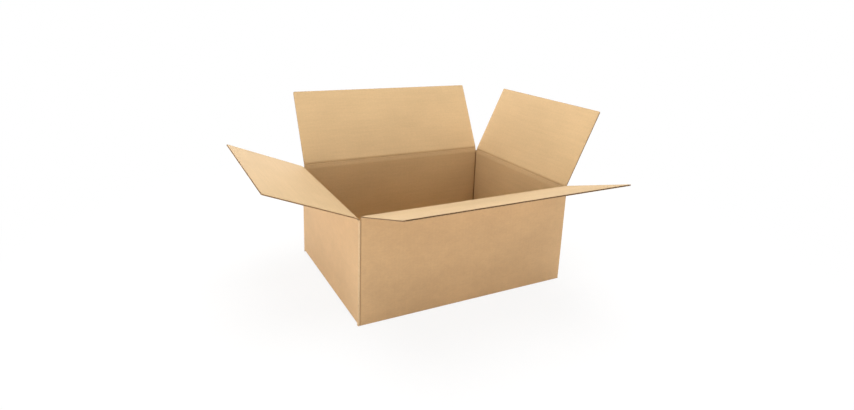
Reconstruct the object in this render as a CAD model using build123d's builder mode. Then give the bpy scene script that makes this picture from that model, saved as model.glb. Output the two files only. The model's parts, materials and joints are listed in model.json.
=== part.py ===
"""Plain slotted shipping box of single-wall corrugated board, standing open with its four top flaps spread.

Lengths are millimetres and angles are degrees. X runs along the long walls, Y runs from front to back and
Z is up. The origin is the middle of the base, on the surface that the box stands on.
"""

import os
from math import atan2, degrees, sqrt

from build123d import *

# Outside of the folded box
box_length = 400.0
box_width = 300.0
box_height = 180.0

# The board: two flat liners with a fluted medium between them
board = 3.0
liner = 0.4
medium = 0.4
flute_pitch = 6.35

# Folds, slots and running gaps
fold_radius = 2.5
slot_inset = 3.5
slot_overcut = 1.0
seam_gap = 0.5
layer_gap = 0.3
crease_gap = 0.3

# Scoring: the board is pressed thinner beside each top crease and grooved inside each vertical fold
crushed_band = 8.0
crush_depth = 0.5
score_radius = 0.9

# Glue tab of the maker's joint, inside the left wall
tab_width = 35.0
tab_taper = 8.0
tab_clearance = 2.0

# How far each flap leans out from upright, in degrees
front_angle = 72.0
back_angle = 28.0
left_angle = 68.0
right_angle = 25.0

# Flaps on the long walls meet over the middle, and all four have one length
flap_length = (box_width - seam_gap) / 2

# The flaps of the short walls fold first, one board inside the flaps of the long walls
long_crease = box_height
short_crease = box_height - board - layer_gap
long_fold = 0.0
short_fold = board + layer_gap
inside_floor = short_fold + board

# Slots are cut a little past the creases at every corner, down to the lower crease at the top and at the base
corner_top = short_crease - slot_overcut
corner_base = long_fold + slot_overcut
long_panel = box_length - 2 * slot_inset
short_panel = box_width - 2 * slot_inset

# A crease is mitred: half of the gap between its lips, measured along the wall, and how deep the lips reach
lip_drop = crease_gap / 2 * sqrt(2)
lip = board - crush_depth


def panel_plane(outward, reach, height, angle=0.0):
    """Plane across a crease, where x points out through the panel and y points up it."""
    along_crease = outward.cross(Vector(0, 0, 1))
    crease_middle = outward * reach + Vector(0, 0, height)
    through_panel = outward.rotate(Axis((0, 0, 0), along_crease), -angle)
    return Plane(crease_middle, x_dir=through_panel, z_dir=along_crease)


front = Vector(0, -1, 0)
back = Vector(0, 1, 0)
left = Vector(-1, 0, 0)
right = Vector(1, 0, 0)

# Each wall: outward direction, distance to its outer face, panel width, top crease and bottom fold
walls = [
    (front, box_width / 2, long_panel, long_crease, long_fold),
    (back, box_width / 2, long_panel, long_crease, long_fold),
    (left, box_length / 2, short_panel, short_crease, short_fold),
    (right, box_length / 2, short_panel, short_crease, short_fold),
]

# Body: four walls, glue tab and closed bottom, folded from one sheet
with BuildPart() as box_body:

    # Between the slots stand the rounded vertical folds and, square, the cut end at the maker's joint
    with BuildSketch(Plane.XY.offset(corner_base)) as corners:
        Rectangle(box_length, box_width)
        folded_corners = corners.vertices().sort_by(Axis((0, 0, 0), (1, 1, 0)))[1:]
        fillet(folded_corners, fold_radius)
        Rectangle(long_panel, box_width, mode=Mode.SUBTRACT)
        Rectangle(box_length, short_panel, mode=Mode.SUBTRACT)
        Rectangle(box_length - 2 * board, box_width - 2 * board, mode=Mode.SUBTRACT)
    extrude(amount=corner_top - corner_base)

    # Each wall panel turns through its bottom fold into its bottom flap
    for outward, reach, panel_width, crease, fold in walls:
        with BuildSketch(panel_plane(outward, reach, 0)) as bent_strip:
            with BuildLine():
                Polyline(
                    (0, crease - lip_drop),
                    (0, fold),
                    (-flap_length, fold),
                    (-flap_length, fold + board),
                    (-board, fold + board),
                    (-board, crease - lip_drop),
                    close=True,
                )
            make_face()
            bottom_fold = bent_strip.vertices().group_by(Axis.Y)[0].sort_by(Axis.X)[-1]
            fillet(bottom_fold, fold_radius)
        extrude(amount=panel_width / 2, both=True)

    # The top of each wall is crushed and mitred on the inside between its slots, so that its flap folds shut
    for outward, reach, panel_width, crease, _ in walls:
        with BuildSketch(panel_plane(outward, reach, crease - lip_drop)):
            with BuildLine():
                Polyline((0, 0), (-lip, -lip), (-board, lip_drop - crushed_band), (-board, 0), close=True)
            make_face()
        extrude(amount=panel_width / 2 + crease_gap, both=True, mode=Mode.SUBTRACT)

    # The three folded corners are scored on the inside
    inner_x = box_length / 2 - board
    inner_y = box_width / 2 - board
    with BuildSketch(Plane.XY.offset(inside_floor)):
        with Locations((inner_x, inner_y), (inner_x, -inner_y), (-inner_x, inner_y)):
            Circle(score_radius)
    extrude(amount=corner_top - inside_floor, mode=Mode.SUBTRACT)

    # The front wall folds round behind the cut end of the left wall and leaves a crevice there
    joint_corner = (-box_length / 2 + board, -box_width / 2)
    with BuildSketch(Plane.XY.offset(long_fold + board)):
        with BuildLine():
            Line(joint_corner, (joint_corner[0] + fold_radius, joint_corner[1]))
            RadiusArc(
                (joint_corner[0] + fold_radius, joint_corner[1]),
                (joint_corner[0], joint_corner[1] + fold_radius),
                fold_radius,
            )
            Line((joint_corner[0], joint_corner[1] + fold_radius), joint_corner)
        make_face()
    extrude(amount=long_crease, mode=Mode.SUBTRACT)

    # Glue tab, flat against the inside of the left wall
    tab_foot = inside_floor + tab_clearance
    tab_head = short_crease - board - tab_clearance
    with BuildSketch(Plane.YZ.offset(-box_length / 2 + board)):
        with BuildLine():
            Polyline(
                (-box_width / 2 + board, tab_foot),
                (-box_width / 2 + board + tab_width, tab_foot + tab_taper),
                (-box_width / 2 + board + tab_width, tab_head - tab_taper),
                (-box_width / 2 + board, tab_head),
                close=True,
            )
        make_face()
    extrude(amount=board)

box_body.part.label = "box_body"

# Flutes: each void is a trapezoid with its mouth on one liner, and the medium is what stays between them
core = board - 2 * liner
void_height = core - medium
void_mouth = 0.72 * flute_pitch
void_floor = 0.19 * flute_pitch
void_angle = degrees(atan2(void_height, (void_mouth - void_floor) / 2))
channel_length = flap_length - crushed_band


def top_flap(flap_plane, panel_width):
    """One flap in the open position, crushed beside its crease, with its flutes open at the free edge."""
    free_edge = Plane(
        origin=flap_plane.from_local_coords((-board / 2, flap_length, 0)),
        x_dir=flap_plane.z_dir,
        z_dir=flap_plane.y_dir,
    )
    flute_count = round(panel_width / flute_pitch)
    spacing = panel_width / flute_count
    with BuildPart() as flap:
        with BuildSketch(flap_plane):
            with BuildLine():
                Polyline(
                    (0, lip_drop),
                    (0, flap_length),
                    (-board, flap_length),
                    (-board, crushed_band),
                    (-lip, lip + lip_drop),
                    close=True,
                )
            make_face()
        extrude(amount=panel_width / 2, both=True)
        with BuildSketch(free_edge):
            with Locations((0, medium / 2)):
                with GridLocations(spacing, 0, flute_count + 1, 1):
                    Trapezoid(void_mouth, void_height, void_angle, rotation=180)
            with Locations((0, -medium / 2)):
                with GridLocations(spacing, 0, flute_count, 1):
                    Trapezoid(void_mouth, void_height, void_angle)
        extrude(amount=-channel_length, mode=Mode.SUBTRACT)
    return flap


front_flap = top_flap(panel_plane(front, box_width / 2, long_crease, front_angle), long_panel)
front_flap.part.label = "front_flap"

back_flap = top_flap(panel_plane(back, box_width / 2, long_crease, back_angle), long_panel)
back_flap.part.label = "back_flap"

left_flap = top_flap(panel_plane(left, box_length / 2, short_crease, left_angle), short_panel)
left_flap.part.label = "left_flap"

right_flap = top_flap(panel_plane(right, box_length / 2, short_crease, right_angle), short_panel)
right_flap.part.label = "right_flap"

os.makedirs("parts", exist_ok=True)
export_step(box_body.part, "parts/box_body.step")
export_step(front_flap.part, "parts/front_flap.step")
export_step(back_flap.part, "parts/back_flap.step")
export_step(left_flap.part, "parts/left_flap.step")
export_step(right_flap.part, "parts/right_flap.step")
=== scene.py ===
"""The look of a plain open cardboard box: fluted board, crushed creases, kraft paper and soft studio light.

Lengths are metres in the row frame: X along the long walls, Y from front to back and Z up, with the origin
at the middle of the base. A panel's own frame is u along its crease, v away from the crease along the flutes
and w out through the outer liner, with w at 0 on the outer face.
"""

import json
import math
import random

import bpy
import numpy as np
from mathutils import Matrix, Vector


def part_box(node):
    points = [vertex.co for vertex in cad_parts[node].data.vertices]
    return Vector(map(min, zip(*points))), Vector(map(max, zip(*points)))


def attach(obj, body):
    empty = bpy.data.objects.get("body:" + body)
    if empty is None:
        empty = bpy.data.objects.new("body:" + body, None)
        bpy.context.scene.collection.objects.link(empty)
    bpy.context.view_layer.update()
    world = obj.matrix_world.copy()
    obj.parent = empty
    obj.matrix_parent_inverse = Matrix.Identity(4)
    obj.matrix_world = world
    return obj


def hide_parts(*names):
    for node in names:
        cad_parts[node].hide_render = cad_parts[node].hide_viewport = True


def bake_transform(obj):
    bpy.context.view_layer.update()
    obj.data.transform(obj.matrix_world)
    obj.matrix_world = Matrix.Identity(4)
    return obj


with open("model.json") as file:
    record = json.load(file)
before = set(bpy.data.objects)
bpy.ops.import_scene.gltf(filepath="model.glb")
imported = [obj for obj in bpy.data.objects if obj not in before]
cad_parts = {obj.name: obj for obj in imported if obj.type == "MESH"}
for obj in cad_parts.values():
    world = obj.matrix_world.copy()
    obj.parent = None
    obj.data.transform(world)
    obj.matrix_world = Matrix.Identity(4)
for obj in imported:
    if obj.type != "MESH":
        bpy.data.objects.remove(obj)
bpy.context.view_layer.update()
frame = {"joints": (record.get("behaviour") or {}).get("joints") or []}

MM = 0.001
UP = Vector((0, 0, 1))

# The board: two liners with a fluted medium between them
BOARD = 3.0 * MM
LINER = 0.3 * MM
MEDIUM = 0.25 * MM
FLUTE_PITCH = 6.35 * MM

# The medium's wave: steps to a flute, its start and a flute's lean, in flutes, and how short it is cut
WAVE_STEPS = 14
WAVE_START = 0.2
WAVE_SWAY = 0.12
MEDIUM_SHORT = 0.15 * MM

# Slots, seams and creases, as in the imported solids
SLOT_INSET = 3.5 * MM
SLOT_OVERCUT = 1.0 * MM
SEAM_GAP = 0.5 * MM
LAYER_GAP = 0.3 * MM
LIP_DROP = 0.15 * MM * math.sqrt(2)
FOLD_RADIUS = 2.5 * MM

# Crushed zones beside the creases. On a flap, the board is pressed down short and sharp, and its medium
# ends a little inside the side edges
CRUSH_REACH = 8.0 * MM
CRUSH_DEPTH = 0.5 * MM
FLAP_CRUSH = 2.0 * MM
WALL_CRUSH = 5.0 * MM
LIP = BOARD - CRUSH_DEPTH
CORE_INSET = 1.0 * MM

# Stations of a flap's crushed strip, from its inner lip and, on the inner face, from the crease
STRIP = [0.0, 0.7 * MM, 1.05 * MM, 1.4 * MM, 1.75 * MM, 2.1 * MM, CRUSH_REACH - BOARD + CRUSH_DEPTH]
INNER_STRIP = [LIP + LIP_DROP + distance for distance in STRIP[:-1]] + [CRUSH_REACH]

# A wall: the zone at each end with its own stations, how far past a board's thickness its pressed band
# starts, the bead inside the fold at its foot, and how far its bottom flap's fluted board reaches into that
END_ZONE = 3.6 * MM
END_STATIONS = 10
BAND_GAP = 0.5 * MM
FOLD_BEAD = 0.4 * MM
BOARD_OVERLAP = 0.5 * MM

# The groove pressed inside each vertical fold, how much deeper it is in the middle, and how far the fold's
# piece reaches into the walls beside it
GROOVE_REACH = 2.0 * MM
GROOVE_DEPTH = 1.35 * MM
GROOVE_MIDDLE = 0.35 * MM
FOLD_OVERLAP = 0.02 * MM

# Glue tab of the maker's joint, the turn that it hangs on and the pressed cut end beside it. The painted
# shade of the crevice is darkest where the front wall has turned in by its depth
TAB_WIDTH = 35.0 * MM
TAB_TAPER = 8.0 * MM
TAB_CLEARANCE = 2.0 * MM
TAB_OVERLAP = 0.3 * MM
TAB_CORE_INSET = 0.3 * MM
TURN_THICKNESS = (0.6 * MM, 0.1 * MM)
CUT_END_PRESS = 0.3 * MM
CREVICE_DEPTH = 1.0 * MM

# Crease paper: its lift over the board, its inset at its ends, where its band on the wall starts past the
# lip, and the shares of the bend at its stations
SKIN = 0.04 * MM
PAPER_INSET = 0.05 * MM
PAPER_START = 0.2 * MM
BEND_SHARES = [0.06, 0.14, 0.23, 0.32, 0.41, 0.50, 0.58, 0.65, 0.70, 0.75, 0.80, 0.85, 0.90, 0.95]

# The scored line along it: depth as a share, its place in the bend, its width in radians and its unevenness
SCORE_DEPTH = 0.45
SCORE_PLACE = 0.3
SCORE_WIDTH = 0.2
SCORE_UNEVEN = 0.06

# The outer liner's ridge along each crease
RIDGE_RADIUS = 0.34 * MM
RIDGE_CORE = 0.2

# Worn corners of the flaps, ragged free edges, and how the knife pinches the side edges and the free ends
CORNER_ROUND = 2.0 * MM
TOP_RAGGED = 0.25 * MM
BOTTOM_RAGGED = 0.2 * MM
PINCH_DEPTH = 0.6 * MM
PINCH_REACH = 4.0 * MM
END_PINCH = 0.45 * MM
END_REACH = 4.0 * MM
EDGE_COLUMN = 0.4 * MM

# How far the paper takes the medium's darker brown as painted shade: at cut edges, for the open flutes, in
# grooves and scores, and where the front wall starts to turn
CUT_EDGE_SHADE = 0.5
GROOVE_SHADE = 0.8
SCORE_SHADE = 0.45
TURN_SHADE = 0.35

# Wear goes by the distance to an edge, and FAR is past it all. Edges that are worn less start part of the
# way along
FAR = 9.0 * MM
CUT_WEAR = 0.6 * MM
CREASE_WEAR = 1.0 * MM
RIDGE_WEAR = 0.2 * MM
# How fast the paler strip at the left wall's cut end fades away from it
CUT_END_PALING = 0.8

# A length too small to count, and places on the flat sheet for the paper of the small parts
HAIR = 0.01 * MM
FOLD_SHEET = 3.0
TAB_SHEET = 3.5

body_low, body_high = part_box("box_body")
LENGTH = body_high.x - body_low.x
WIDTH = body_high.y - body_low.y
FLAP_LENGTH = (WIDTH - SEAM_GAP) / 2

rng = random.Random(11)


def smooth(t):
    """Smooth step from 0 to 1."""
    t = min(max(t, 0.0), 1.0)
    return t * t * (3 - 2 * t)


def inverse_smooth(s):
    """The t at which the smooth step reaches s."""
    return 0.5 - math.sin(math.asin(1 - 2 * s) / 3)


def steps(start, end, count):
    """count + 1 evenly spaced numbers."""
    return [start + (end - start) * i / count for i in range(count + 1)]


class Panel:
    """A flat panel's frame. sheet is its origin's place on the flat sheet, and turn is -1 if it runs back."""

    def __init__(self, origin, along, onward, outward, sheet, turn=1):
        self.origin = Vector(origin)
        self.along = Vector(along)
        self.onward = Vector(onward)
        self.outward = Vector(outward)
        self.sheet = sheet
        self.turn = turn

    def place(self, u, v, w):
        """A point of the panel, in the row frame."""
        return self.origin + self.along * u + self.onward * v + self.outward * w

    def flat(self, u, v):
        """The same point on the flat sheet."""
        return (self.sheet[0] + self.turn * u, self.sheet[1] + self.turn * v)


class Wall:
    """One wall with its crease, read from the joint of its top flap."""

    def __init__(self, joint, long_wall):
        self.name = joint["child"].replace("_lid", "")
        self.lid = joint["child"]
        self.node = self.name + "_flap"
        self.pivot = Vector(joint["pos_m"])
        self.along = Vector(joint["axis"])
        self.outward = UP.cross(self.along)
        self.lean = math.radians(joint["range_deg"][1] - 90)
        self.half_width = (LENGTH if long_wall else WIDTH) / 2 - SLOT_INSET
        self.fold = 0.0 if long_wall else BOARD + LAYER_GAP
        self.crease = self.pivot.z

        # No two walls share a place on the flat sheet, so each has paper of its own
        self.sheet_along = len(self.name) * 100 * FLUTE_PITCH + self.outward.x

    def upright(self):
        """Frame of the wall itself, with v measured up from the ground."""
        foot = self.pivot - UP * self.pivot.z
        return Panel(foot, self.along, UP, self.outward, (self.sheet_along, 0.0))

    def flap(self):
        """Frame of the open top flap."""
        onward = self.outward * math.sin(self.lean) + UP * math.cos(self.lean)
        normal = self.outward * math.cos(self.lean) - UP * math.sin(self.lean)
        return Panel(self.pivot, self.along, onward, normal, (self.sheet_along, self.crease))

    def bottom_flap(self):
        """Frame of the closed bottom flap, which points inwards with its outer face down."""
        corner = self.pivot - UP * (self.pivot.z - self.fold)
        return Panel(corner, -self.along, -self.outward, -UP, (self.sheet_along, self.fold), -1)


walls = [Wall(joint, joint["name"] in ("front_crease", "back_crease")) for joint in frame["joints"]]
corner_top = min(wall.crease for wall in walls) - SLOT_OVERCUT
corner_heights = steps(SLOT_OVERCUT, corner_top, 6)


class SheetMesh:
    """Gathers closed slabs of board. Each vertex keeps its place on the flat sheet, its wear and its tone:
    the medium's own brown on the medium, painted shade elsewhere.
    """

    def __init__(self):
        self.points = []
        self.flat = []
        self.wear = []
        self.tone = []
        self.faces = []

    def slab(self, outer, inner, flat, wear, sides=(0.0, 1.0), tone=(0.0, 0.0)):
        """A closed slab between two grids of points. sides tells the outer paper, 0, from the inner one, 1.

        tone, for the outer and the inner grid, is how much of the medium's darker brown they take, as the
        medium's own colour on the medium and as painted shade where other paper takes it: a number or a grid
        of them.
        """
        rows, columns = len(outer), len(outer[0])
        start = len(self.points)
        for grid, side in zip((outer, inner), sides):
            for row, flat_row, wear_row in zip(grid, flat, wear):
                self.points.extend(row)
                self.flat.extend((u, v, side) for u, v in flat_row)
                self.wear.extend(wear_row)
        for shade in tone:
            for row in shade if isinstance(shade, list) else [[shade] * columns] * rows:
                self.tone.extend(row)

        def vertex(side, row, column):
            return start + (side * rows + row) * columns + column

        for r in range(rows - 1):
            for c in range(columns - 1):
                corners = ((r, c), (r, c + 1), (r + 1, c + 1), (r + 1, c))
                self.faces.append([vertex(0, *corner) for corner in corners])
                self.faces.append([vertex(1, *corner) for corner in reversed(corners)])
        rim = [(0, c) for c in range(columns)]
        rim += [(r, columns - 1) for r in range(1, rows)]
        rim += [(rows - 1, c) for c in range(columns - 2, -1, -1)]
        rim += [(r, 0) for r in range(rows - 2, 0, -1)]
        for here, there in zip(rim, rim[1:] + rim[:1]):
            self.faces.append((vertex(0, *there), vertex(0, *here), vertex(1, *here), vertex(1, *there)))

    def build(self, name, material, body=None, node=None):
        """Makes the piece, lets it ride on a body and stands it in for a node."""
        mesh = bpy.data.meshes.new(name)
        mesh.from_pydata([tuple(p) for p in self.points], [], self.faces)
        mesh.validate()
        flat = mesh.attributes.new("flat_sheet", "FLOAT_VECTOR", "POINT")
        flat.data.foreach_set("vector", np.array(self.flat, np.float32).ravel())
        # The medium attribute carries the medium's own brown and the painted shade laid on with it
        for label, values in (("worn", self.wear), ("medium", self.tone)):
            attribute = mesh.attributes.new(label, "FLOAT", "POINT")
            attribute.data.foreach_set("value", np.array(values, np.float32))
        mesh.materials.append(material)
        mesh.shade_smooth()
        mesh.set_sharp_from_angle(angle=math.radians(28))
        piece = bpy.data.objects.new(name, mesh)
        bpy.context.scene.collection.objects.link(piece)
        if node:
            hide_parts(node)
        if body:
            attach(piece, body)
        return piece


def grid_on(panel, us, vs, depth):
    """A grid of points on a panel. depth(u, v) gives w."""
    return [[panel.place(u, v, depth(u, v)) for u in us] for v in vs]


def flat_on(panel, us, vs):
    """The same grid on the flat sheet."""
    return [[panel.flat(u, v) for u in us] for v in vs]


def swept_up(plan, heights):
    """Grid of points over a plan, one row for each height."""
    return [[Vector((x, y, z)) for x, y in plan] for z in heights]


def crush(v, reach):
    """How far the inner liner is pressed in at a distance v from a crease's lip."""
    return CRUSH_DEPTH * (1 - smooth(v / reach))


def pinch(u, half_width):
    """How far each liner is pressed in beside the cut side edges."""
    return PINCH_DEPTH * (1 - smooth((half_width - abs(u)) / PINCH_REACH))


def groove(u, half_width):
    """How far a wall's inner face is pressed in beside the vertical folds."""
    inner_end = half_width + SLOT_INSET - BOARD
    return GROOVE_DEPTH * (1 - smooth((inner_end - abs(u)) / GROOVE_REACH))


def turned_in(u, wall):
    """How far the outer face curves in where the front wall turns into the glue tab."""
    into = u - (wall.half_width + SLOT_INSET - BOARD - FOLD_RADIUS)
    if wall.name != "front" or into < 0:
        return 0.0
    return FOLD_RADIUS - math.sqrt(FOLD_RADIUS**2 - into**2)


def free_end(u, half_width):
    """How far a flap reaches at u, with its two corners a little round."""
    into = max(abs(u) - (half_width - CORNER_ROUND), 0.0)
    return FLAP_LENGTH - CORNER_ROUND + math.sqrt(max(CORNER_ROUND**2 - into**2, 0.0))


def columns_over(half_width, every=1):
    """Stations across a board, four to a flute or fewer, and close together beside its side edges."""
    quarters = round(2 * half_width / FLUTE_PITCH) * 4
    stations = enumerate(steps(-half_width, half_width, quarters))
    kept = [u for i, u in stations if i % every == 0 or i < 4 or quarters - i < 4]
    return sorted(kept + [EDGE_COLUMN - half_width, half_width - EDGE_COLUMN])


def fluted_board(mesh, panel, half, v_start, ragged):
    """Two liners with the fluted medium between them, open at every cut edge."""
    us = columns_over(half)
    torn = {u: free_end(u, half) - ragged * rng.random() for u in us}

    # Rows by their gap to the free end. None is the row at v_start
    liner_gaps = [None, END_REACH, END_REACH / 2, END_REACH / 4, 0.0]
    medium_gaps = [None, END_REACH, END_REACH / 2, MEDIUM_SHORT]

    def row_v(gap, end):
        return v_start if gap is None else end - gap

    def to_edge(u, gap):
        return min(FAR if gap is None else gap, half - abs(u))

    def press(u, gap):
        at_end = 0.0 if gap is None else END_PINCH * (1 - smooth(gap / END_REACH))
        return max(pinch(u, half), at_end)

    def grid(ends, gaps, level):
        """Points over the board. ends gives each station's free end, and level(u, gap) gives w."""
        return [[panel.place(u, row_v(gap, end), level(u, gap)) for u, end in ends.items()] for gap in gaps]

    def flat_grid(ends, gaps):
        return [[panel.flat(u, row_v(gap, end)) for u, end in ends.items()] for gap in gaps]

    flat = flat_grid(torn, liner_gaps)
    wear = [[to_edge(u, gap) + CUT_WEAR for u in us] for gap in liner_gaps]
    # Painted shade of the open flutes along the liners' cut edges
    tone = [[CUT_EDGE_SHADE if to_edge(u, gap) < HAIR else 0.0 for u in us] for gap in liner_gaps]
    for top, side, inward in ((0.0, 0.0, -1), (-BOARD + LINER, 1.0, 1)):
        outer = grid(torn, liner_gaps, lambda u, gap: top + inward * press(u, gap))
        inner = grid(torn, liner_gaps, lambda u, gap: top - LINER + inward * press(u, gap))
        mesh.slab(outer, inner, flat, wear, (side, side), (tone, tone))

    flutes = round(2 * half / FLUTE_PITCH)
    swing = (BOARD - 2 * LINER - MEDIUM) / 2
    cut = {u: free_end(u, half) for u in steps(-half, half, flutes * WAVE_STEPS)}
    sway = [rng.uniform(-WAVE_SWAY, WAVE_SWAY) for _ in range(flutes + 2)]

    def wave(u, gap):
        turn = (u + half) / (2 * half) * flutes
        drift = sway[int(turn)] * math.sin(math.pi * (turn % 1)) ** 2
        height = math.cos(2 * math.pi * (turn + drift + WAVE_START))
        return -BOARD / 2 + (swing - press(u, gap)) * height

    outer = grid(cut, medium_gaps, lambda u, gap: wave(u, gap) + MEDIUM / 2)
    inner = grid(cut, medium_gaps, lambda u, gap: wave(u, gap) - MEDIUM / 2)
    wear = [[FAR for u in cut] for gap in medium_gaps]
    mesh.slab(outer, inner, flat_grid(cut, medium_gaps), wear, (1.0, 1.0), (1.0, 1.0))


def crushed_foot(mesh, panel, half):
    """The pressed strip of a top flap beside its crease: both liners and the crushed medium, mitred."""
    us = columns_over(half, 4)
    core_us = [u * (half - CORE_INSET) / half for u in us]
    outer_vs = [LIP_DROP + share * (CRUSH_REACH - LIP_DROP) / STRIP[-1] for share in STRIP]
    pressed = {v: crush(v - LIP - LIP_DROP, FLAP_CRUSH) for v in INNER_STRIP}
    # Painted shade along the cut side edges
    tone = [[CUT_EDGE_SHADE if abs(u) > half - HAIR else 0.0 for u in us] for v in STRIP]

    # Outer liner. Its first row follows the mitre where the side edges are pinched
    top = grid_on(panel, us, outer_vs, lambda u, v: -pinch(u, half))
    under = grid_on(panel, us, outer_vs, lambda u, v: -pinch(u, half) - LINER)
    top[0] = [panel.place(u, LIP_DROP + pinch(u, half), -pinch(u, half)) for u in us]
    under[0] = [panel.place(u, LIP_DROP + LINER + pinch(u, half), -LINER - pinch(u, half)) for u in us]
    wear = [[min(v, half - abs(u) + CUT_WEAR) for u in us] for v in outer_vs]
    mesh.slab(top, under, flat_on(panel, us, outer_vs), wear, (0.0, 0.0), (tone, tone))

    # Inner liner
    over = grid_on(panel, us, INNER_STRIP, lambda u, v: -BOARD + LINER + pressed[v] + pinch(u, half))
    inside = grid_on(panel, us, INNER_STRIP, lambda u, v: -BOARD + pressed[v] + pinch(u, half))
    wear = [[half - abs(u) + CUT_WEAR for u in us] for v in INNER_STRIP]
    mesh.slab(over, inside, flat_on(panel, us, INNER_STRIP), wear, (1.0, 1.0), (tone, tone))

    # Crushed medium
    over = grid_on(panel, core_us, outer_vs, lambda u, v: -LINER)
    inside = grid_on(panel, core_us, INNER_STRIP, lambda u, v: -BOARD + LINER + pressed[v])
    mesh.slab(over, inside, flat_on(panel, core_us, INNER_STRIP), wear, (1.0, 1.0), (1.0, 1.0))


def top_flap(wall, material):
    """A top flap: its crushed foot and the fluted board."""
    mesh = SheetMesh()
    panel = wall.flap()
    crushed_foot(mesh, panel, wall.half_width)
    fluted_board(mesh, panel, wall.half_width, CRUSH_REACH, TOP_RAGGED)
    mesh.build(wall.name + "_flap_board", material, wall.lid, wall.node)


def wall_strip(wall, material):
    """A wall with its mitred top, the fold at its foot and its bottom flap."""
    mesh = SheetMesh()
    panel = wall.upright()
    top = wall.crease - LIP_DROP
    half = wall.half_width
    end_us = [half - END_ZONE * i / (END_STATIONS - 1) for i in range(END_STATIONS)]
    us = sorted([-u for u in end_us] + end_us)

    # Down the outer face, round the fold and along the underside
    bends = [math.radians(a) for a in steps(0, 90, 5)]
    outer_path = [(top, 0.0)] + [(v, 0.0) for v in steps(top - BOARD, top - CRUSH_REACH, 6)]
    outer_path += [
        (wall.fold + FOLD_RADIUS * (1 - math.sin(a)), -FOLD_RADIUS * (1 - math.cos(a))) for a in bends
    ]
    outer_path.append((wall.fold, -CRUSH_REACH))

    # Down the inner face and round the bead in its corner, with as many stations
    inner_foot = wall.fold + BOARD
    pressed = steps(top - BOARD - BAND_GAP, top - CRUSH_REACH, 6)
    inner_path = [(top - LIP, -LIP)] + [(v, -BOARD + crush(top - LIP - v, WALL_CRUSH)) for v in pressed]
    inner_path.append((inner_foot + FOLD_RADIUS, -BOARD))
    inner_path += [(inner_foot + FOLD_BEAD * (5 - i) / 5, -BOARD - FOLD_BEAD * i / 5) for i in range(1, 6)]
    inner_path.append((inner_foot, -CRUSH_REACH))

    outer = []
    # Painted shade of the crevice: the outer face darkens as it turns in towards the glue tab
    crevice = []
    for v, w in outer_path:
        turns = [turned_in(u, wall) if w > -BOARD else 0.0 for u in us]
        outer.append([panel.place(u, min(v, top - turn), w - turn) for u, turn in zip(us, turns)])
        crevice.append([turn / CREVICE_DEPTH for turn in turns])
    inner = [
        [panel.place(u, v, w + (groove(u, half) if w > -BOARD - HAIR else 0.0)) for u in us]
        for v, w in inner_path
    ]
    flat = [[panel.flat(u, v if v > wall.fold else wall.fold + w) for u in us] for v, w in outer_path]
    wear = [[min(top - v, max(v - wall.fold, -w)) for u in us] for v, w in outer_path]
    # Painted shade in the groove pressed beside each vertical fold
    scored = [[GROOVE_SHADE * groove(u, half) / GROOVE_DEPTH for u in us] for v, w in outer_path]
    mesh.slab(outer, inner, flat, wear, tone=(crevice, scored))
    fluted_board(mesh, wall.bottom_flap(), half, CRUSH_REACH - BOARD_OVERLAP, BOTTOM_RAGGED)
    mesh.build(wall.name + "_wall_board", material, "carton", "box_body")


def corner_fold(side_x, side_y, material):
    """The rounded vertical fold between two walls, from slot to slot."""
    x_wall, y_wall = side_x * LENGTH / 2, side_y * WIDTH / 2
    ends = SLOT_INSET + FOLD_OVERLAP
    shallow = BOARD - groove(LENGTH / 2 - SLOT_INSET, LENGTH / 2 - SLOT_INSET)
    deep = BOARD - GROOVE_DEPTH - GROOVE_MIDDLE

    # Plans of the outer and the inner face, measured in from the two walls' outer faces
    outer = [(0.0, ends)]
    for bend in steps(0, 90, 8):
        angle = math.radians(bend)
        outer.append((FOLD_RADIUS * (1 - math.cos(angle)), FOLD_RADIUS * (1 - math.sin(angle))))
    outer.append((ends, 0.0))
    inner = []
    for i in range(len(outer)):
        share = 2 * i / (len(outer) - 1) - 1
        inner.append((deep + (ends - deep) * max(share, 0.0), deep + (ends - deep) * max(-share, 0.0)))
    inner[0] = (shallow, ends)
    inner[-1] = (ends, shallow)
    flat = [[(FOLD_SHEET + x - y, z) for x, y in outer] for z in corner_heights]
    wear = [[abs(x - y) for x, y in outer] for z in corner_heights]

    # The plans run the other way round at every second corner, so that the faces always point out
    if side_x * side_y < 0:
        outer.reverse()
        inner.reverse()

    def placed(plan):
        return swept_up([(x_wall - side_x * x, y_wall - side_y * y) for x, y in plan], corner_heights)

    mesh = SheetMesh()
    # The inner face takes painted shade all along the fold's groove
    mesh.slab(placed(outer), placed(inner), flat, wear, tone=(0.0, GROOVE_SHADE))
    name = ("back" if side_y > 0 else "front") + ("_right" if side_x > 0 else "_left") + "_fold"
    mesh.build(name, material, "carton", "box_body")


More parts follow.
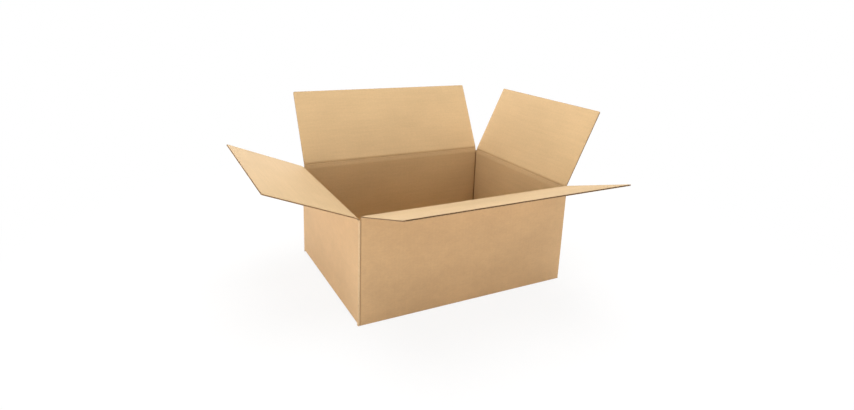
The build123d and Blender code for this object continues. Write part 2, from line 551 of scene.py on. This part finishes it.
def maker_joint(left_wall, material):
    """The cut end of the left wall, the front wall's turn beside it and the glue tab inside."""
    mesh = SheetMesh()
    panel = left_wall.upright()
    us = steps(-WIDTH / 2, -left_wall.half_width, 6)
    pressed = {u: CUT_END_PRESS * (1 - smooth((u + WIDTH / 2) / SLOT_INSET)) for u in us}
    outer = grid_on(panel, us, corner_heights, lambda u, v: -pressed[u])
    inner = grid_on(panel, us, corner_heights, lambda u, v: -BOARD + pressed[u])
    # The cut end is paler towards its edge
    wear = [[CUT_END_PALING * (u + WIDTH / 2) for u in us] for v in corner_heights]
    mesh.slab(outer, inner, flat_on(panel, us, corner_heights), wear)

    # The turn, in plan, from the end of the front wall to the root of the tab
    x_joint, y_front = -LENGTH / 2 + BOARD, -WIDTH / 2
    y_root = y_front + BOARD + TAB_OVERLAP
    x_centre, y_centre = x_joint + FOLD_RADIUS, y_front + FOLD_RADIUS
    first = math.acos(1 - (SLOT_INSET - BOARD) / FOLD_RADIUS)
    turn = []
    for angle in steps(first, 0, 4):
        turn.append((x_centre - FOLD_RADIUS * math.cos(angle), y_centre - FOLD_RADIUS * math.sin(angle)))
    turn.append((x_joint, y_root))
    last = len(turn) - 1
    thick_end, thin_end = TURN_THICKNESS
    root = [(x, y_root) for x in steps(x_joint + thick_end, x_joint + thin_end, last)]
    flat = [[(FOLD_SHEET + x, z) for x, y in turn] for z in corner_heights]
    wear = [[FAR for point in turn] for z in corner_heights]
    # Painted shade on the turn, part at the front wall's end and full at the tab's root
    shade = [[TURN_SHADE + (1 - TURN_SHADE) * i / last for i in range(len(turn))] for z in corner_heights]
    outer, inner = swept_up(turn, corner_heights), swept_up(root, corner_heights)
    mesh.slab(outer, inner, flat, wear, tone=(shade, shade))

    # The tab, a board thick and tapered at its head and foot. Its core lies a little inside its liners
    foot = BOARD + LAYER_GAP + BOARD + TAB_CLEARANCE
    head = left_wall.crease - BOARD - TAB_CLEARANCE
    tab = Panel((x_joint, y_front + BOARD, 0), (0, 1, 0), UP, (-1, 0, 0), (TAB_SHEET, 0.0))
    layers = (
        (0.0, LINER, 0.0, 0.0, 0.0),
        (-LINER, BOARD - 2 * LINER, TAB_CORE_INSET, 1.0, 1.0),
        (-BOARD + LINER, LINER, 0.0, 1.0, 0.0),
    )
    for top, thickness, inset, side, tone in layers:
        us = steps(0, TAB_WIDTH - inset, 8)
        tapers = [inset + TAB_TAPER * u / TAB_WIDTH for u in us]
        low_edge = [(u, foot + taper) for u, taper in zip(us, tapers)]
        high_edge = [(u, head - taper) for u, taper in zip(us, tapers)]
        edges = (low_edge, high_edge)
        outer = [[tab.place(u, v, top) for u, v in edge] for edge in edges]
        inner = [[tab.place(u, v, top - thickness) for u, v in edge] for edge in edges]
        flat = [[tab.flat(u, v) for u, v in edge] for edge in edges]
        wear = [[TAB_WIDTH - u for u in us] for edge in edges]
        mesh.slab(outer, inner, flat, wear, (side, side), (tone, tone))
    mesh.build("maker_joint", material, "carton", "box_body")


def crease_paper(wall, material):
    """The pressed inner liner between wall and flap, bent round the crease at the flap's lean and into the
    mitre.
    """
    mesh = SheetMesh()
    half = wall.half_width
    flap = wall.flap()
    us = [u * (half - PAPER_INSET) / half for u in columns_over(half, 4)]
    uneven = [1 + rng.uniform(-SCORE_UNEVEN, SCORE_UNEVEN) for _ in us]
    wall_lip = wall.outward * -LIP - UP * (LIP + LIP_DROP)
    flap_lip = -flap.outward * LIP + flap.onward * (LIP + LIP_DROP)
    span = wall_lip.angle(flap_lip)
    chord = (flap_lip - wall_lip).length
    middle = (wall_lip.normalized() + flap_lip.normalized()).normalized()
    across = (flap_lip - wall_lip).normalized()
    wall_bands = steps(CRUSH_REACH, LIP + LIP_DROP + PAPER_START, 6)
    score_angle = SCORE_PLACE * span

    def score(angle):
        """How much of the scored line lies at an angle of the bend."""
        return math.exp(-(((angle - score_angle) / SCORE_WIDTH) ** 2))

    def bend_radius(share, angle):
        """Distance from the pivot that moves evenly over the chord, with its limit at the middle."""
        if abs(angle) < 1e-6:
            return chord / (1.5 * span)
        return (inverse_smooth(share) - 0.5) * chord / math.sin(angle)

    def profile(lift, deep, pressed):
        """Points across the crease, from wall to flap, as seen from the pivot."""
        points = []
        for v in wall_bands:
            depth = BOARD - crush(v - LIP - LIP_DROP, WALL_CRUSH) + lift
            points.append(-UP * v - wall.outward * depth)
        for share in BEND_SHARES:
            angle = (share - 0.5) * span
            radius = bend_radius(share, angle) * (1 - deep * score(angle)) + lift
            points.append((middle * math.cos(angle) + across * math.sin(angle)) * radius)
        for v in INNER_STRIP:
            depth = BOARD - pressed - crush(v - LIP - LIP_DROP, FLAP_CRUSH) + lift
            points.append(flap.onward * v - flap.outward * depth)
        return points

    def swept(lift):
        columns = [profile(lift, SCORE_DEPTH * factor, pinch(u, half)) for factor, u in zip(uneven, us)]
        return [[wall.pivot + point + wall.along * u for point, u in zip(row, us)] for row in zip(*columns)]

    outer, inner = swept(SKIN - LINER), swept(SKIN)
    marks = [i / (len(outer) - 1) - 0.5 for i in range(len(outer))]
    flat = [[(wall.sheet_along + u, wall.crease + mark * 2 * CRUSH_REACH) for u in us] for mark in marks]
    wear = [[CREASE_WEAR + abs(mark) * CRUSH_REACH for u in us] for mark in marks]
    bends = [0.0] * len(wall_bands) + BEND_SHARES + [0.0] * len(INNER_STRIP)
    # Painted shade along the scored line
    tone = [[SCORE_SHADE * score((share - 0.5) * span)] * len(us) for share in bends]
    mesh.slab(outer, inner, flat, wear, (1.0, 1.0), (tone, tone))
    piece = mesh.build(wall.name + "_crease_paper", material)
    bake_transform(piece)


def crease_ridge(wall, material):
    """The outer liner's narrow rounded ridge along the crease, which the flap turns about."""
    mesh = SheetMesh()
    us = steps(-wall.half_width, wall.half_width, 2)
    spokes = []
    for bend in steps(-60, 240, 10):
        angle = math.radians(bend)
        across, up = RIDGE_RADIUS * math.sin(angle), RIDGE_RADIUS * math.cos(angle)
        spokes.append(wall.outward * across + UP * up)
    outer = [[wall.pivot + spoke + wall.along * u for u in us] for spoke in spokes]
    inner = [[wall.pivot + spoke * RIDGE_CORE + wall.along * u for u in us] for spoke in spokes]
    flat = [[(wall.sheet_along + u, wall.crease) for u in us] for spoke in spokes]
    mesh.slab(outer, inner, flat, [[RIDGE_WEAR for u in us] for spoke in spokes])
    mesh.build(wall.name + "_crease_ridge", material, "carton")


# Kraft paper: its colours, where most of a noise lies, and how far each pattern darkens and lightens it
OUTER_PAPER = (0.545, 0.352, 0.180, 1)
INNER_PAPER = (0.576, 0.398, 0.208, 1)
MEDIUM_PAPER = (0.32, 0.175, 0.072)
WORN_PAPER = (0.70, 0.52, 0.32, 1)
NOISE_LOW = 0.25
NOISE_HIGH = 0.75
CLOUD_SWING = 0.045
MOTTLE_SWING = 0.035
PATTERN_SWING = 0.028
FIBRE_SWING = 0.045
WASHBOARD_SWING = 0.005
MEDIUM_SWING = 0.15
FLECK_DARKNESS = 0.72

# Over how many metres wear fades out, and how much of it shows, from the least to the most mottled place
WEAR_REACH = 0.0012
LEAST_WEAR = 0.25
MOST_WEAR = 0.8

# Heights of the relief, in metres
FIBRE_RELIEF = 0.00003
MOTTLE_RELIEF = 0.00005
PATTERN_RELIEF = 0.00004
WASHBOARD_RELIEF = 0.000008
CLOUD_RELIEF = 0.0006

# Gloss
SMOOTHEST = 0.74
ROUGHEST = 0.9
SPECULAR = 0.3
SHEEN = 0.08
SHEEN_ROUGHNESS = 0.5


class Shader:
    """Short names for the nodes that a procedural material is made of."""

    def __init__(self, name):
        self.material = bpy.data.materials.new(name)
        self.material.use_nodes = True
        self.nodes = self.material.node_tree.nodes
        self.links = self.material.node_tree.links
        self.surface = self.nodes["Principled BSDF"]

    def feed(self, socket, value):
        """Links a socket to another, or sets its value."""
        if isinstance(value, bpy.types.NodeSocket):
            self.links.new(value, socket)
        else:
            socket.default_value = value

    def attribute(self, name, output):
        """An attribute of the mesh."""
        node = self.nodes.new("ShaderNodeAttribute")
        node.attribute_name = name
        return node.outputs[output]

    def math(self, operation, *values):
        """Arithmetic on one or two numbers."""
        node = self.nodes.new("ShaderNodeMath")
        node.operation = operation
        for socket, value in zip(node.inputs, values):
            self.feed(socket, value)
        return node.outputs[0]

    def noise(self, place, stretch, detail, roughness=0.5):
        """Noise of about 0 to 1 with so many features a metre along each direction of the place."""
        scale = self.nodes.new("ShaderNodeVectorMath")
        scale.operation = "MULTIPLY"
        self.feed(scale.inputs[0], place)
        scale.inputs[1].default_value = stretch
        node = self.nodes.new("ShaderNodeTexNoise")
        self.feed(node.inputs["Vector"], scale.outputs[0])
        node.inputs["Scale"].default_value = 1.0
        node.inputs["Detail"].default_value = detail
        node.inputs["Roughness"].default_value = roughness
        return node.outputs["Fac"]

    def ramp(self, value, low, high, start, end):
        """Takes low to high to start to end, smoothly and no further."""
        node = self.nodes.new("ShaderNodeMapRange")
        node.interpolation_type = "SMOOTHSTEP"
        self.feed(node.inputs["Value"], value)
        self.feed(node.inputs["From Min"], low)
        self.feed(node.inputs["From Max"], high)
        self.feed(node.inputs["To Min"], start)
        self.feed(node.inputs["To Max"], end)
        return node.outputs["Result"]

    def mix(self, share, first, second):
        """A mix of two colours."""
        node = self.nodes.new("ShaderNodeMix")
        node.data_type = "RGBA"
        self.feed(node.inputs["Factor"], share)
        self.feed(node.inputs["A"], first)
        self.feed(node.inputs["B"], second)
        return node.outputs["Result"]

    def scaled(self, colour, factor):
        """A colour times a number."""
        node = self.nodes.new("ShaderNodeVectorMath")
        node.operation = "SCALE"
        self.feed(node.inputs[0], colour)
        self.feed(node.inputs["Scale"], factor)
        return node.outputs[0]

    def varied(self, colour, pattern, swing, low=NOISE_LOW, high=NOISE_HIGH):
        """A colour that a pattern darkens and lightens by the same swing."""
        return self.scaled(colour, self.ramp(pattern, low, high, 1 - swing, 1 + swing))


def kraft_material():
    """Uncoated kraft paper: cloudy, streaked along the crease, flecked with fibres, worn at edges and
    darkened with painted shade at cut edges, in grooves and scores and in the joint's crevice.
    """
    shader = Shader("kraft_board")
    place = shader.attribute("flat_sheet", "Vector")
    parts = shader.nodes.new("ShaderNodeSeparateXYZ")
    shader.feed(parts.inputs[0], place)
    along, side = parts.outputs["X"], parts.outputs["Z"]
    worn = shader.attribute("worn", "Fac")
    medium = shader.attribute("medium", "Fac")

    # Patterns, in features a metre along the crease, along the flutes and from face to face
    cloud = shader.noise(place, (9, 14, 1), 4.0)
    mottle = shader.noise(place, (160, 320, 3), 4.0, 0.6)
    blotch = shader.noise(place, (60, 80, 3), 3.0, 0.6)
    streak = shader.noise(place, (9, 170, 3), 4.0, 0.65)
    fibre = shader.noise(place, (900, 4200, 5), 2.0)
    fleck = shader.noise(place, (420, 1500, 7), 1.0, 0.4)
    washboard = shader.math("SINE", shader.math("MULTIPLY", along, 2 * math.pi / FLUTE_PITCH))

    # The outer paper is blotchy and the inner paper streaky
    outer_share = shader.math("MULTIPLY", shader.math("SUBTRACT", 1.0, side), blotch)
    pattern = shader.math("ADD", outer_share, shader.math("MULTIPLY", side, streak))

    # Colour
    paper = shader.mix(side, OUTER_PAPER, INNER_PAPER)
    paper = shader.varied(paper, cloud, CLOUD_SWING)
    paper = shader.varied(paper, mottle, MOTTLE_SWING)
    paper = shader.varied(paper, pattern, PATTERN_SWING)
    paper = shader.varied(paper, fibre, FIBRE_SWING)
    paper = shader.scaled(paper, shader.ramp(fleck, 0.70, 0.80, 1.0, FLECK_DARKNESS))
    paper = shader.varied(paper, washboard, WASHBOARD_SWING, -1.0, 1.0)
    near_edge = shader.ramp(worn, 0.0, WEAR_REACH, 1.0, 0.0)
    scuff = shader.math("MULTIPLY", near_edge, shader.ramp(mottle, 0.3, 0.6, LEAST_WEAR, MOST_WEAR))
    paper = shader.mix(scuff, paper, WORN_PAPER)
    # The medium's own darker brown, also laid on as painted shade at cut edges, in grooves and scores and in
    # the joint's crevice
    paper = shader.mix(medium, paper, shader.varied(MEDIUM_PAPER, fibre, MEDIUM_SWING, 0.2, 0.8))
    shader.feed(shader.surface.inputs["Base Color"], paper)

    # Relief
    fuzz = shader.math("MULTIPLY", fibre, FIBRE_RELIEF)
    grain = shader.math("MULTIPLY", mottle, MOTTLE_RELIEF)
    ripple = shader.math("MULTIPLY", pattern, PATTERN_RELIEF)
    flutes = shader.math("MULTIPLY", washboard, WASHBOARD_RELIEF)
    waves = shader.math("MULTIPLY", cloud, CLOUD_RELIEF)
    fine = shader.math("ADD", shader.math("ADD", fuzz, grain), shader.math("ADD", ripple, flutes))
    bump = shader.nodes.new("ShaderNodeBump")
    bump.inputs["Strength"].default_value = 1.0
    bump.inputs["Distance"].default_value = 1.0
    shader.feed(bump.inputs["Height"], shader.math("ADD", fine, waves))
    shader.feed(shader.surface.inputs["Normal"], bump.outputs["Normal"])

    roughness = shader.ramp(mottle, NOISE_LOW, NOISE_HIGH, SMOOTHEST, ROUGHEST)
    shader.feed(shader.surface.inputs["Roughness"], roughness)
    shader.surface.inputs["Specular IOR Level"].default_value = SPECULAR
    shader.surface.inputs["Sheen Weight"].default_value = SHEEN
    shader.surface.inputs["Sheen Roughness"].default_value = SHEEN_ROUGHNESS
    return shader.material


kraft = kraft_material()
for wall in walls:
    top_flap(wall, kraft)
    wall_strip(wall, kraft)
    crease_paper(wall, kraft)
    crease_ridge(wall, kraft)
for side_x, side_y in ((1, 1), (1, -1), (-1, 1)):
    corner_fold(side_x, side_y, kraft)
maker_joint(next(wall for wall in walls if wall.name == "left"), kraft)


# Floor: its level, half its side and its colour under the lamps. Near the box it shows only part of the
# camera's white, so that the shadow stays, and that share rises to all of it between two distances
FLOOR_LEVEL = -0.3 * MM
FLOOR_HALF = 6.0
FLOOR_COLOUR = (0.9, 0.9, 0.9, 1)
FLOOR_ROUGHNESS = 0.9
FLOOR_WHITENESS = 0.88
SHADOW_REACH = (0.35, 0.9)

# Light: the strength of the world's white on the object, and how far the lamps stand from the box
AMBIENT = 0.03
LAMP_DISTANCE = 2.4
LAMP_LIFT = 0.15

# Each softbox: the direction it shines from, its width and height in metres and its power in watts
SOFTBOXES = {
    "overhead": ((0, 0, 1), 2.4, 2.4, 72.0),
    "front": ((0, -1, 0.158), 2.2, 0.9, 25.5),
    "left": ((-1, 0, 0.158), 2.2, 0.9, 37.0),
    "back": ((0, 1, 0.158), 2.2, 0.9, 39.0),
    "right": ((1, 0, 0.158), 2.2, 0.9, 32.0),
}

# Camera, solved from the photo: focal length and optical centre in pixels, place, and turns in degrees
PHOTO_WIDTH = 854
PHOTO_HEIGHT = 410
FOCAL_PIXELS = 555.88
CENTRE_X_PIXELS = 418.14
CENTRE_Y_PIXELS = 150.7
SENSOR_WIDTH = 36
CAMERA_PLACE = (-0.47988, -0.86866, 0.48505)
CAMERA_TURN = (75.4497, -1.8407, -27.0804)


def sees_background(nodes, links):
    """1 on the rays that show the white background: the camera's, and those of gloss and glass."""
    path = nodes.new("ShaderNodeLightPath")
    seen = path.outputs["Is Camera Ray"]
    for kind in ("Is Glossy Ray", "Is Transmission Ray"):
        either = nodes.new("ShaderNodeMath")
        either.operation = "ADD"
        either.use_clamp = True
        links.new(seen, either.inputs[0])
        links.new(path.outputs[kind], either.inputs[1])
        seen = either.outputs[0]
    return seen


def add_floor():
    """A plain floor that shows white, apart from the box's shadow."""
    mesh = bpy.data.meshes.new("floor")
    signs = ((-1, -1), (1, -1), (1, 1), (-1, 1))
    corners = [(x * FLOOR_HALF, y * FLOOR_HALF, FLOOR_LEVEL) for x, y in signs]
    mesh.from_pydata(corners, [], [(0, 1, 2, 3)])
    floor = bpy.data.objects.new("floor", mesh)
    bpy.context.scene.collection.objects.link(floor)
    material = bpy.data.materials.new("floor_white")
    material.use_nodes = True
    nodes, links = material.node_tree.nodes, material.node_tree.links
    surface = nodes["Principled BSDF"]
    surface.inputs["Base Color"].default_value = FLOOR_COLOUR
    surface.inputs["Roughness"].default_value = FLOOR_ROUGHNESS
    surface.inputs["Specular IOR Level"].default_value = 0.0
    glow = nodes.new("ShaderNodeEmission")
    place = nodes.new("ShaderNodeTexCoord")
    distance = nodes.new("ShaderNodeVectorMath")
    distance.operation = "LENGTH"
    links.new(place.outputs["Object"], distance.inputs[0])
    whiteness = nodes.new("ShaderNodeMapRange")
    whiteness.interpolation_type = "SMOOTHSTEP"
    whiteness.inputs["From Min"].default_value = SHADOW_REACH[0]
    whiteness.inputs["From Max"].default_value = SHADOW_REACH[1]
    whiteness.inputs["To Min"].default_value = FLOOR_WHITENESS
    whiteness.inputs["To Max"].default_value = 1.0
    links.new(distance.outputs["Value"], whiteness.inputs["Value"])
    share = nodes.new("ShaderNodeMath")
    share.operation = "MULTIPLY"
    links.new(sees_background(nodes, links), share.inputs[0])
    links.new(whiteness.outputs["Result"], share.inputs[1])
    mix = nodes.new("ShaderNodeMixShader")
    links.new(share.outputs[0], mix.inputs[0])
    links.new(surface.outputs[0], mix.inputs[1])
    links.new(glow.outputs[0], mix.inputs[2])
    links.new(mix.outputs[0], nodes["Material Output"].inputs["Surface"])
    mesh.materials.append(material)


def add_world():
    """A white world that the camera sees in full and the object hardly feels."""
    world = bpy.data.worlds.new("studio")
    bpy.context.scene.world = world
    world.use_nodes = True
    nodes, links = world.node_tree.nodes, world.node_tree.links
    background = nodes["Background"]
    strength = nodes.new("ShaderNodeMapRange")
    links.new(sees_background(nodes, links), strength.inputs["Value"])
    strength.inputs["To Min"].default_value = AMBIENT
    strength.inputs["To Max"].default_value = 1.0
    links.new(strength.outputs["Result"], background.inputs["Strength"])
    background.inputs["Color"].default_value = (1, 1, 1, 1)


def add_softbox(name, shining_from, width, height, power):
    """A soft lamp that points at the box. A square one is made round."""
    light = bpy.data.lights.new(name, "AREA")
    light.shape = "ELLIPSE" if width == height else "RECTANGLE"
    light.size = width
    light.size_y = height
    light.energy = power
    lamp = bpy.data.objects.new(name, light)
    direction = Vector(shining_from).normalized()
    lamp.location = direction * LAMP_DISTANCE + UP * LAMP_LIFT
    lamp.rotation_euler = direction.to_track_quat("Z", "Y").to_euler()
    lamp.visible_camera = False
    bpy.context.scene.collection.objects.link(lamp)


def add_camera():
    """The photo's viewing angle."""
    data = bpy.data.cameras.new("camera")
    camera = bpy.data.objects.new("camera", data)
    bpy.context.scene.collection.objects.link(camera)
    bpy.context.scene.camera = camera
    data.sensor_width = SENSOR_WIDTH
    data.lens = FOCAL_PIXELS * SENSOR_WIDTH / PHOTO_WIDTH
    data.shift_x = (PHOTO_WIDTH / 2 - CENTRE_X_PIXELS) / PHOTO_WIDTH
    data.shift_y = (CENTRE_Y_PIXELS - PHOTO_HEIGHT / 2) / PHOTO_WIDTH
    camera.location = CAMERA_PLACE
    camera.rotation_euler = [math.radians(angle) for angle in CAMERA_TURN]


add_floor()
add_world()
for name, box in SOFTBOXES.items():
    add_softbox(name, *box)
add_camera()
bpy.context.scene.view_settings.view_transform = "Standard"
